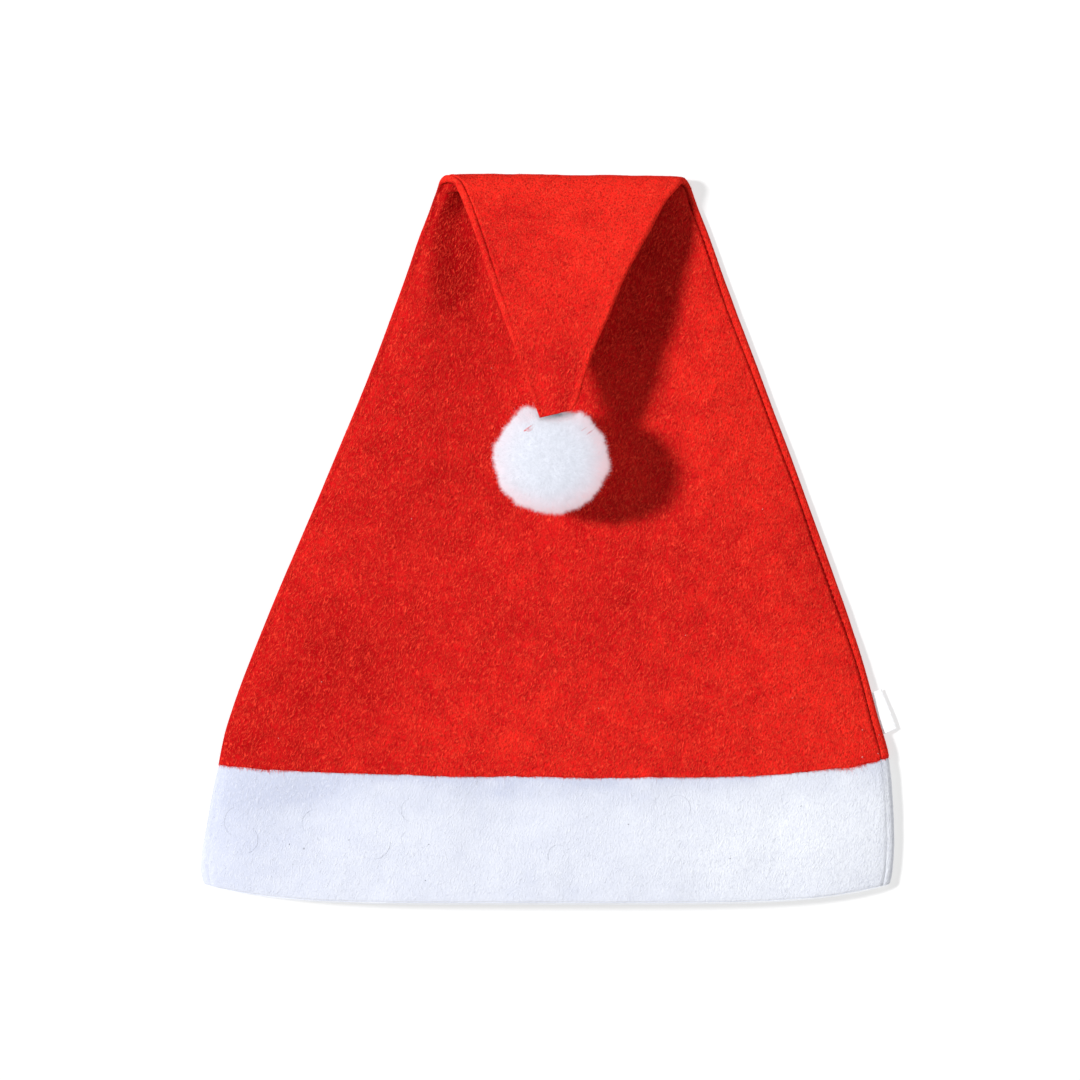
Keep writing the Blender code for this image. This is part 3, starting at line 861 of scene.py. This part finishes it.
def build_stitches():
    """Sunken thread stitches: one is shaped, and copies of it run along the right side seam."""
    deselect_all()
    bpy.ops.mesh.primitive_cylinder_add(
        vertices=6, radius=STITCH_RADIUS * MM, depth=STITCH_LENGTH * MM, rotation=(math.radians(90), 0, 0)
    )
    stitch = bpy.context.object
    bpy.ops.object.transform_apply(location=False, rotation=True, scale=False)
    bpy.ops.object.mode_set(mode="EDIT")
    bpy.ops.mesh.select_all(action="SELECT")
    bpy.ops.mesh.bisect(plane_co=(0, 0, 0), plane_no=(0, 1, 0))
    bpy.ops.object.mode_set(mode="OBJECT")
    shape = np.array([vertex.co / MM for vertex in stitch.data.vertices])
    shape[:, 2] -= STITCH_SINK * (2 * np.abs(shape[:, 1]) / STITCH_LENGTH) ** 2
    faces = [list(face.vertices) for face in stitch.data.polygons]
    bpy.data.objects.remove(stitch)
    cuts = [body_cut(y) for y in even_steps(RIM_Y + 2.0, FOLD_START_Y - 2.0, 3.0)]
    spots, along, out = seam_frames(cuts)
    across = np.cross(along, out)
    axes = np.stack((across, along, out), axis=1)
    points = spots[:, None] + shape[None] @ axes
    groups = []
    for size in sorted({len(face) for face in faces}):
        same = np.array([face for face in faces if len(face) == size])
        groups.append((np.arange(len(spots))[:, None, None] * len(shape) + same).reshape(-1, size))
    return mesh_piece("side_stitches", points.reshape(-1, 3), groups)


def build_fringe(rim, rng):
    """Red fibres that stray from the rim over the white band."""
    ahead = np.roll(rim, -1, axis=0) - rim
    spans = np.linalg.norm(ahead, axis=1)
    step = rng.choice(len(rim), size=FRINGE_FIBRES, p=spans / spans.sum())
    roots = rim[step] + ahead[step] * rng.random(FRINGE_FIBRES)[:, None]
    roots += rng.normal(size=(FRINGE_FIBRES, 3)) * (0.2, 0.15, 0.1)
    roots = roots[roots[:, 2] > FRINGE_FRONT_Z]
    count = len(roots)
    ways = np.stack(
        (rng.normal(size=count) * 0.55, -np.ones(count), rng.uniform(-0.15, 0.5, size=count)), axis=1
    )
    bends = rng.normal(size=(count, 3)) * 0.5 + (0.0, 0.0, -0.5)
    lengths = 0.4 + rng.gamma(2.0, 0.24, size=count)
    longer = [share * np.exp(-(((roots[:, 0] - x) / reach) ** 2)) for x, reach, share in LONG_FRINGE]
    lengths *= 1 + sum(longer)
    lengths[::60] *= 2.2
    widths = rng.uniform(0.06, 0.1, size=count)
    return fibre_mesh("rim_fringe", roots, ways, bends, lengths, widths, rng)


def build_curls(skin):
    """A few long curled fibres that lie on the band."""
    points, faces = [], []
    size = CURL_RINGS * FIBRE_SIDES
    for number, spot in enumerate(CURLS):
        turn = np.linspace(0.0, math.radians(spot.bend), CURL_RINGS)
        heading = math.radians(spot.heading)
        x = spot.x + spot.radius * (np.sin(turn + heading) - math.sin(heading))
        y = spot.y - spot.radius * (np.cos(turn + heading) - math.cos(heading))
        flat = np.stack((x, y), axis=1)
        away = np.linalg.norm(skin[None, :, :2] - flat[:, None], axis=2) - skin[None, :, 2] * 0.2
        lie = skin[np.argmin(away, axis=1), 2] + 0.12
        lie = np.convolve(np.pad(lie, 2, mode="edge"), np.ones(5) / 5, mode="valid")
        line = np.column_stack((flat, lie))
        along = unit(np.gradient(line, axis=0))
        side = unit(np.cross(along, (0.0, 0.0, 1.0)))
        ring = round_about(side, np.cross(side, along))
        points.append((line[:, None] + ring * 0.05).reshape(-1, 3))
        first = number * size
        last = first + size - 1
        faces.append(ring_faces(CURL_RINGS, FIBRE_SIDES, closes=False) + first)
        faces.append(np.array(((first, first + 1, first + 2), (last, last - 1, last - 2))))
    return mesh_piece("band_curls", np.concatenate(points), faces)


def build_strays(rng):
    """Red fibres caught in the pompom's pile."""
    roots, ways = [], []
    for x, y, z, count in RED_STRAYS:
        out = unit(np.array((x, y, z)))
        about = unit(out + rng.normal(size=(count, 3)) * 0.03)
        roots.append(pompom_surface(about, np.full(count, 1.0)))
        ways.append(np.array((0.85, 0.5, 0.1)) + rng.normal(size=(count, 3)) * 0.1)
    roots, ways = np.concatenate(roots), np.concatenate(ways)
    size = len(roots)
    bends = rng.normal(size=(size, 3)) * 0.2
    return fibre_mesh("caught_fibres", roots, ways, bends, np.full(size, 3.4), np.full(size, 0.15), rng)


def build_specks(name, skin, table, rng):
    """Tiny specks of lint that lie on felt."""
    spots = []
    for place in table:
        away = ((skin[:, :2] - place) ** 2).sum(axis=1) - skin[:, 2] * 0.2
        spots.append(skin[np.argmin(away)])
    spots = np.array(spots) + (0.0, 0.0, 0.1)
    ways = rng.normal(size=spots.shape) * (1.0, 1.0, 0.1)
    size = len(spots)
    bends = rng.normal(size=(size, 3)) * 0.6
    return fibre_mesh(name, spots, ways, bends, rng.uniform(0.5, 0.9, size=size), np.full(size, 0.3), rng)


def deselect_all():
    """Clears the selection that loading the frame leaves."""
    for thing in bpy.context.selected_objects:
        thing.select_set(False)


def build_label():
    """The bare tape: folded double over its outer edge and sewn into the right seam."""
    here = smooth_read(BODY_ROWS, LABEL_CENTRE_Y)
    lean = math.radians(LABEL_LEAN)
    edge = np.array((math.sin(lean), -math.cos(lean)))
    outward = np.array((math.cos(lean), math.sin(lean)))
    middle = np.array((here.right, LABEL_CENTRE_Y))
    deselect_all()
    bpy.ops.mesh.primitive_grid_add(x_subdivisions=14, y_subdivisions=36, size=1.0)
    piece = bpy.context.object
    piece.name = piece.data.name = "label_tape"
    for vertex in piece.data.vertices:
        out = -LABEL_TUCK + (vertex.co.x + 0.5) * (LABEL_TUCK + LABEL_SHOWS)
        side = vertex.co.y * LABEL_LENGTH
        spot = middle + outward * out + edge * side
        hanging = max(0.0, out / LABEL_SHOWS)
        height = FELT + here.edge_gap / 2 - 0.1 - 1.5 * hanging**1.4
        height += 0.2 * math.sin(side * 0.33 + 0.6) * hanging
        vertex.co = Vector((spot[0], spot[1], height)) * MM
    bpy.ops.object.mode_set(mode="EDIT")
    bpy.ops.mesh.select_all(action="SELECT")
    bpy.ops.mesh.extrude_region_move(TRANSFORM_OT_translate={"value": (0.0, 0.0, 0.42 * MM)})
    bpy.ops.mesh.select_all(action="SELECT")
    bpy.ops.mesh.normals_make_consistent(inside=False)
    bpy.ops.object.mode_set(mode="OBJECT")
    bevel = piece.modifiers.new("soft_edges", "BEVEL")
    bevel.width = 0.14 * MM
    bevel.segments = 2
    bevel.limit_method = "ANGLE"
    bpy.ops.object.modifier_apply(modifier=bevel.name)
    bpy.ops.object.shade_smooth_by_angle(angle=math.radians(40))
    return piece


def material_named(name):
    """An empty node material with its shader, ready to be wired."""
    material = bpy.data.materials.new(name)
    material.use_nodes = True
    tree = material.node_tree
    return material, tree, tree.nodes["Principled BSDF"]


def node(tree, kind, **settings):
    """A node with its settings and input values."""
    made = tree.nodes.new(kind)
    for key, value in settings.items():
        if key in made.inputs:
            made.inputs[key].default_value = value
        else:
            setattr(made, key, value)
    return made


def feed(tree, place, value):
    """Links a socket to an input, or sets the input to a number, vector or colour."""
    if isinstance(value, bpy.types.NodeSocket):
        tree.links.new(value, place)
    elif place.type == "RGBA":
        place.default_value = (*value, 1.0)
    else:
        place.default_value = value


def maths(tree, operation, *values):
    """A sum on numbers and sockets."""
    made = node(tree, "ShaderNodeMath", operation=operation)
    for place, value in zip(made.inputs, values):
        feed(tree, place, value)
    return made.outputs[0]


def vector_maths(tree, operation, *values):
    """A sum on vectors and sockets that carry them."""
    made = node(tree, "ShaderNodeVectorMath", operation=operation)
    for place, value in zip(made.inputs, values):
        feed(tree, place, value)
    return made.outputs[0]


def scaled(tree, colour, by):
    """A colour made brighter or dimmer."""
    made = node(tree, "ShaderNodeVectorMath", operation="SCALE")
    feed(tree, made.inputs[0], colour)
    feed(tree, made.inputs["Scale"], by)
    return made.outputs[0]


def mixed(tree, share, low, high):
    """The colour that lies between two others by a share."""
    made = node(tree, "ShaderNodeMix", data_type="RGBA")
    for index, value in ((0, share), (6, low), (7, high)):
        feed(tree, made.inputs[index], value)
    return made.outputs[2]


def remapped(tree, value, low, high, to_low=0.0, to_high=1.0):
    """A value moved from one range to another."""
    made = node(tree, "ShaderNodeMapRange")
    for name, limit in (("From Min", low), ("From Max", high), ("To Min", to_low), ("To Max", to_high)):
        made.inputs[name].default_value = limit
    tree.links.new(value, made.inputs["Value"])
    return made.outputs[0]


def ramped(tree, value, first, last, middle=None):
    """A colour read from a ramp, whose stops are a place and a colour."""
    made = node(tree, "ShaderNodeValToRGB")
    for stop, (place, colour) in zip(made.color_ramp.elements, (first, last)):
        stop.position = place
        stop.color = (*colour, 1.0)
    if middle:
        made.color_ramp.elements.new(middle[0]).color = (*middle[1], 1.0)
    tree.links.new(value, made.inputs["Fac"])
    return made.outputs["Color"]


def noise_at(tree, place, **settings):
    """A noise texture read at a place."""
    made = node(tree, "ShaderNodeTexNoise", **settings)
    tree.links.new(place, made.inputs["Vector"])
    return made


def turned(tree, place, degrees):
    """A place turned about the Z axis."""
    made = node(tree, "ShaderNodeVectorRotate", rotation_type="Z_AXIS")
    made.inputs["Angle"].default_value = math.radians(degrees)
    tree.links.new(place, made.inputs["Vector"])
    return made.outputs[0]


def painted(tree, name):
    """The number that was painted on a piece's points."""
    return node(tree, "ShaderNodeAttribute", attribute_name=name).outputs["Fac"]


def object_place(tree):
    """The place on a piece, in metres."""
    return node(tree, "ShaderNodeTexCoord").outputs["Object"]


def roughen(tree, shader, height, strength, distance):
    """Gives a shader bumps of a height."""
    bump = node(tree, "ShaderNodeBump", Strength=strength, Distance=distance)
    tree.links.new(height, bump.inputs["Height"])
    tree.links.new(bump.outputs["Normal"], shader.inputs["Normal"])


def make_matt(shader):
    """A surface without any gloss."""
    shader.inputs["Roughness"].default_value = 1.0
    shader.inputs["Specular IOR Level"].default_value = 0.0


def felt_group():
    """Matted fibres: short streaks that lie three ways, dark specks between them and soft blotches."""
    group = bpy.data.node_groups.new("matted_fibres", "ShaderNodeTree")
    socket = group.interface.new_socket
    socket("Place", in_out="INPUT", socket_type="NodeSocketVector")
    wide = socket("Fibre Width", in_out="INPUT", socket_type="NodeSocketFloat")
    long = socket("Fibre Length", in_out="INPUT", socket_type="NodeSocketFloat")
    wide.default_value, long.default_value = 0.0003, 0.0011
    for name in ("Fibres", "Specks", "Blotches", "Height"):
        socket(name, in_out="OUTPUT", socket_type="NodeSocketFloat")
    start = node(group, "NodeGroupInput")
    end = node(group, "NodeGroupOutput")
    place = start.outputs["Place"]

    wander = noise_at(group, place, Scale=170.0, Detail=2.0).outputs["Color"]
    swung = vector_maths(group, "MULTIPLY_ADD", wander, (0.003, 0.003, 0.003), place)
    scale = node(group, "ShaderNodeCombineXYZ")
    across = maths(group, "DIVIDE", 0.5, start.outputs["Fibre Width"])
    for name in ("X", "Z"):
        group.links.new(across, scale.inputs[name])
    group.links.new(maths(group, "DIVIDE", 0.5, start.outputs["Fibre Length"]), scale.inputs["Y"])
    streaks = []
    for turn in STREAK_TURNS:
        stretched = vector_maths(group, "MULTIPLY", turned(group, swung, turn), scale.outputs[0])
        streaks.append(noise_at(group, stretched, Scale=1.0, Detail=2.0, Roughness=0.6).outputs["Fac"])
    strongest = maths(group, "MAXIMUM", maths(group, "MAXIMUM", streaks[0], streaks[1]), streaks[2])
    fibres = remapped(group, strongest, 0.54, 0.72)

    clouds = noise_at(group, place, Scale=100.0, Detail=4.0, Roughness=0.65).outputs["Fac"]
    drawn_out = vector_maths(group, "MULTIPLY", turned(group, place, GRAIN_TURN), GRAIN_SCALE)
    grain = noise_at(group, drawn_out, Scale=1.0, Detail=1.0).outputs["Fac"]
    results = {
        "Fibres": fibres,
        "Specks": remapped(group, grain, 0.52, 0.27),
        "Blotches": remapped(group, clouds, 0.2, 0.8, 0.32, 0.68),
        "Height": maths(group, "ADD", grain, fibres),
    }
    for name, result in results.items():
        group.links.new(result, end.inputs[name])
    return group


# A felt's colours: flat at the dark end of its ramp, where shade is painted and, on the red, where its nap
# lies down; plain in the middle; then the colour at the light end, where light is painted and, on the red,
# where its nap stands up; then its fibres, specks, bump, sheen and blotches. The white's flat colour is
# the bluish grey of painted shade
FeltLook = namedtuple(
    "FeltLook", "name flat plain brushed fibre fibre_share speck speck_share bump sheen blotch_share"
)
RED_LOOK = FeltLook(
    name="red_needle_felt",
    flat=(0.37, 0.003, 0.005),
    plain=(0.545, 0.008, 0.009),
    brushed=(0.85, 0.022, 0.014),
    fibre=(1.0, 0.064, 0.033),
    fibre_share=0.8,
    speck=(0.25, 0.001, 0.003),
    speck_share=0.69,
    bump=1.0,
    sheen=(1.0, 0.08, 0.05),
    blotch_share=1.15,
)
WHITE_LOOK = FeltLook(
    name="white_needle_felt",
    flat=(0.465, 0.493, 0.607),
    plain=(0.59, 0.612, 0.69),
    brushed=(0.73, 0.75, 0.80),
    fibre=(0.69, 0.705, 0.775),
    fibre_share=0.4,
    speck=(0.52, 0.54, 0.64),
    speck_share=0.45,
    bump=0.4,
    sheen=(1.0, 1.0, 1.0),
    blotch_share=0.5,
)


def felt_material(look, group, layer, swing):
    """Felt in one colour family: its nap, the light and shade painted on it, its blotches, bright fibres
    and dark specks.
    """
    material, tree, shader = material_named(look.name)
    matted = node(tree, "ShaderNodeGroup")
    matted.node_tree = group
    tree.links.new(object_place(tree), matted.inputs["Place"])
    blotches = maths(
        tree, "MULTIPLY_ADD", matted.outputs["Blotches"], look.blotch_share, 0.5 - 0.5 * look.blotch_share
    )
    lean = maths(tree, "MULTIPLY_ADD", painted(tree, layer), swing, blotches)
    base = ramped(tree, lean, (0.25, look.flat), (0.85, look.brushed), middle=(0.5, look.plain))
    for mask, share, tone in (
        ("Specks", look.speck_share, look.speck),
        ("Fibres", look.fibre_share, look.fibre),
    ):
        base = mixed(tree, maths(tree, "MULTIPLY", matted.outputs[mask], share), base, tone)
    tree.links.new(base, shader.inputs["Base Color"])
    roughen(tree, shader, matted.outputs["Height"], look.bump, 0.0004)
    make_matt(shader)
    shader.inputs["Sheen Weight"].default_value = 0.02
    shader.inputs["Sheen Roughness"].default_value = 0.6
    shader.inputs["Sheen Tint"].default_value = (*look.sheen, 1.0)
    return material


def paint_edge_glow(material, tone):
    """Adds a painted glow, by emission, where felt turns in at an edge, standing in for light that shines
    through it.
    """
    tree = material.node_tree
    shader = tree.nodes["Principled BSDF"]
    glow = mixed(tree, painted(tree, "painted_edge_glow"), (0.0, 0.0, 0.0), tone)
    tree.links.new(glow, shader.inputs["Emission Color"])
    shader.inputs["Emission Strength"].default_value = 1.0


def fibre_material(name, low, high, scale=300.0):
    """Loose fibres, a little lighter here and darker there."""
    material, tree, shader = material_named(name)
    lighter = noise_at(tree, object_place(tree), Scale=scale, Detail=2.0).outputs["Fac"]
    tree.links.new(ramped(tree, lighter, (0.35, low), (0.65, high)), shader.inputs["Base Color"])
    make_matt(shader)
    return material


def pile_material():
    """White pompom pile with a painted glow for the light that scatters in it, painted red bounce light
    near the red felt and painted shadow in the gap under the point.
    """
    material, tree, shader = material_named("pompom_pile")
    tint = mixed(tree, painted(tree, "painted_red_bounce"), PILE_WHITE, PILE_RED_BOUNCE)
    uneven = scaled(tree, tint, painted(tree, "shade"))
    shaded = mixed(tree, painted(tree, "clear_of_painted_shadow"), PILE_GAP_SHADOW, uneven)
    tree.links.new(scaled(tree, shaded, 0.36), shader.inputs["Base Color"])
    # Painted glow: the pile emits its own shaded colour, standing in for light scattered among its fibres
    tree.links.new(shaded, shader.inputs["Emission Color"])
    shader.inputs["Emission Strength"].default_value = 0.64
    make_matt(shader)
    return material


def tape_material():
    """White woven tape with fine ribs across it."""
    material, tree, shader = material_named("woven_tape")
    ribs = node(tree, "ShaderNodeTexWave", Scale=420.0, Distortion=0.6, bands_direction="DIAGONAL")
    tree.links.new(object_place(tree), ribs.inputs["Vector"])
    woven = ramped(tree, ribs.outputs["Fac"], (0.0, (0.86, 0.86, 0.87)), (1.0, (0.92, 0.92, 0.93)))
    tree.links.new(woven, shader.inputs["Base Color"])
    roughen(tree, shader, ribs.outputs["Fac"], 0.3, 0.0001)
    shader.inputs["Roughness"].default_value = 0.55
    return material


def dress(piece, material, slot, *nodes):
    """Gives a piece its material and its body, and hides the imported parts that it stands for."""
    piece.data.materials.clear()
    piece.data.materials.append(material)
    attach(piece, "root")
    if nodes:
        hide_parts(*nodes)
    return piece


def soft_light(name, place, size, power):
    """A round soft light that faces the hat."""
    light = bpy.data.lights.new(name, "AREA")
    light.shape = "DISK"
    light.size = size
    light.energy = power
    lamp = bpy.data.objects.new(name, light)
    bpy.context.scene.collection.objects.link(lamp)
    lamp.location = place
    lamp.rotation_euler = (-Vector(place)).to_track_quat("-Z", "Y").to_euler()


def build_studio():
    """A pale floor, a soft light from the hat's left, an even surrounding light and the camera."""
    deselect_all()
    bpy.ops.mesh.primitive_plane_add(size=16.0, location=(0.0, 0.0, -0.00005))
    floor = bpy.context.object
    floor.name = "studio_floor"
    material, _, shader = material_named("pale_paper")
    shader.inputs["Base Color"].default_value = (0.3, 0.3, 0.3, 1.0)
    shader.inputs["Roughness"].default_value = 0.9
    shader.inputs["Specular IOR Level"].default_value = 0.0
    shader.inputs["Emission Color"].default_value = (1.0, 1.0, 1.0, 1.0)
    shader.inputs["Emission Strength"].default_value = 0.635
    floor.data.materials.append(material)
    world = bpy.data.worlds.new("even_light")
    bpy.context.scene.world = world
    world.use_nodes = True
    world.node_tree.nodes["Background"].inputs["Color"].default_value = (0.98, 0.99, 1.0, 1.0)
    world.node_tree.nodes["Background"].inputs["Strength"].default_value = 0.26
    soft_light("window_light", (-3.4, 0.68, 3.6), 0.74, 350.0)
    soft_light("side_fill", (1.25, 0.3, 1.0), 0.9, 7.5)
    lens = bpy.data.cameras.new("overhead_camera")
    camera = bpy.data.objects.new("overhead_camera", lens)
    bpy.context.scene.collection.objects.link(camera)
    lens.sensor_width = SENSOR_WIDTH
    lens.lens = SENSOR_WIDTH * CAMERA_HEIGHT / CAMERA_COVERS
    camera.location = (-0.004, -0.0002, CAMERA_HEIGHT)
    bpy.context.scene.camera = camera
    bpy.context.scene.view_settings.view_transform = "Standard"


def main():
    build_studio()
    felt = felt_group()
    red = felt_material(RED_LOOK, felt, "brushed", 0.32)
    white = felt_material(WHITE_LOOK, felt, "painted_band_light_and_shade", -0.3)
    paint_edge_glow(white, PAINTED_EDGE_GLOW)
    red_fibre = fibre_material("red_loose_fibre", (0.4, 0.003, 0.004), (0.72, 0.012, 0.01), scale=160.0)
    white_fibre = fibre_material("white_loose_fibre", (0.66, 0.68, 0.73), (0.74, 0.75, 0.79))
    pile = pile_material()
    # Rim fibres in a lighter red than the felt: a painted highlight for the light that shines through them
    # over the white band
    fringe = fibre_material("red_rim_fibre", (0.7, 0.02, 0.016), (0.98, 0.075, 0.05))
    # Seam thread in a red much darker than the felt: painted shade for the seam's groove, on thread that
    # is red like the felt
    thread = fibre_material("red_thread_in_painted_shade", (0.2, 0.001, 0.003), (0.28, 0.002, 0.003))
    lint = fibre_material("grey_lint", (0.54, 0.56, 0.62), (0.62, 0.64, 0.7))
    dark = fibre_material("dark_lint", (0.12, 0.12, 0.14), (0.2, 0.2, 0.22))
    pale = fibre_material("pale_lint", (0.6, 0.4, 0.38), (0.75, 0.6, 0.58))
    rng = np.random.default_rng(7)

    crown, crown_skin = build_crown()
    dress(crown, red, "red_felt", "crown")

    band, band_skin = build_band()
    dress(band, white, "white_felt", "band")

    dress(build_nap(CROWN_NAP, crown_skin, rng), red_fibre, "red_felt")
    dress(build_nap(BAND_NAP, band_skin, rng), white_fibre, "white_felt")

    rim = crown_skin[RIM_LOOP]
    on_crown = crown_skin.reshape(-1, 3)
    on_band = band_skin.reshape(-1, 3)
    dress(build_fringe(rim, rng), fringe, "red_felt")
    dress(build_stitches(), thread, "red_felt")
    dress(build_curls(on_band), lint, "white_felt")
    dress(build_specks("band_specks", on_band, DARK_SPECKS, rng), dark, "white_felt")
    dress(build_specks("crown_specks", on_crown, PALE_SPECKS, rng), pale, "red_felt")
    dress(build_strays(rng), red_fibre, "red_felt")
    dress(build_pompom_core(), pile, "pompom_fur", "pompom")
    for number in (1, 2):
        dress(build_pile(f"pompom_pile_{number}", rng), pile, "pompom_fur")
    dress(build_label(), tape_material(), "label_tape", "side_label")


main()
